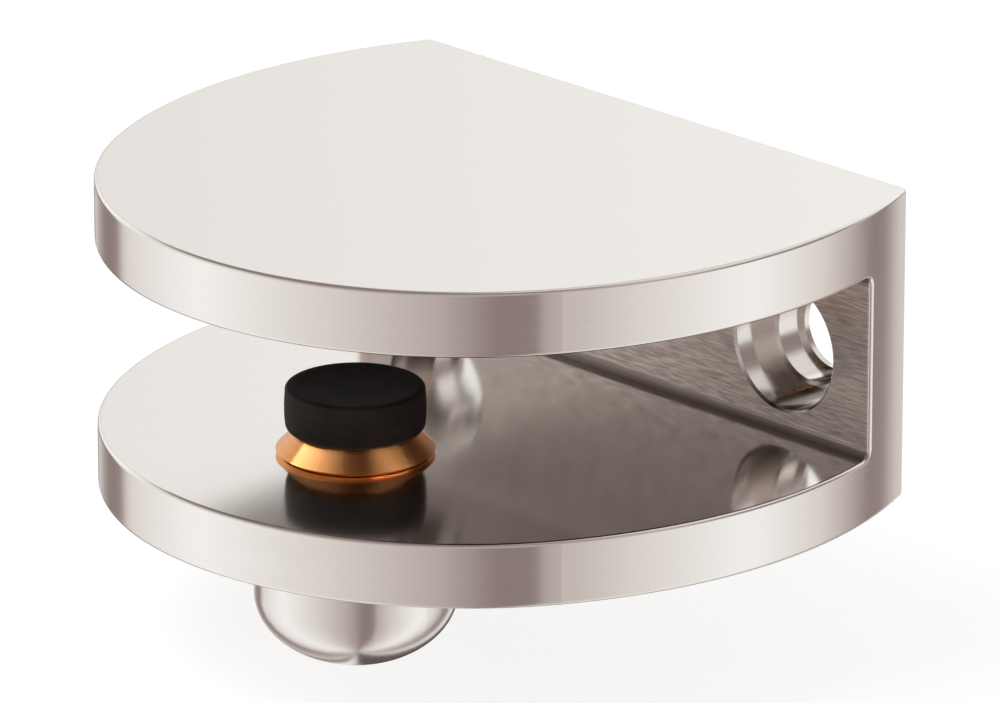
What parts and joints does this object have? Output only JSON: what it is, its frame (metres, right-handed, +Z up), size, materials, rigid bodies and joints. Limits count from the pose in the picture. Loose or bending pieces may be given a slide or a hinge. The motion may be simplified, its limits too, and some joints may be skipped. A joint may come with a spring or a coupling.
{
  "type": "glass panel clamp",
  "caption": "Half-round wall clamp that grips a glass panel's edge between two plates, tightened from below by a dome knob screw with a rubber-padded foot.",
  "frame": {"origin": "midway between the two wall screw holes, on the wall face", "axes": "+Y into the wall, +Z up, X along the wall; the nose of the clamp points to -Y"},
  "size_m": [0.0582, 0.0484, 0.0356],
  "materials": {
    "satin_nickel_casting": "satin nickel on cast zinc",
    "satin_nickel_knob": "satin nickel on turned zinc",
    "zinc_plated_steel": "bright zinc plated thread",
    "turned_brass": "turned, bright",
    "black_rubber": "matt moulded"
  },
  "bodies": {
    "bracket": {"bracket_body": "satin_nickel_casting"},
    "foot": {"pressure_foot": "turned_brass", "rubber_pad": "black_rubber"},
    "screw": {"clamp_screw": "zinc_plated_steel", "dome_knob": "satin_nickel_knob"}
  },
  "joints": [
    {"name": "foot_lift", "type": "slide", "parent": "bracket", "child": "foot", "axis": [0, 0, 1], "range_m": [0, 0.0032]},
    {"name": "screw_turn", "type": "hinge", "parent": "foot", "child": "screw", "pos_m": [0, -0.0322, -0.0066], "axis": [0, 0, 1], "range_deg": [0, 1152]}
  ],
  "couplings": [
    {"joint": "foot_lift", "follows": "screw_turn", "m_per_rad": 0.00015915}
  ]
}
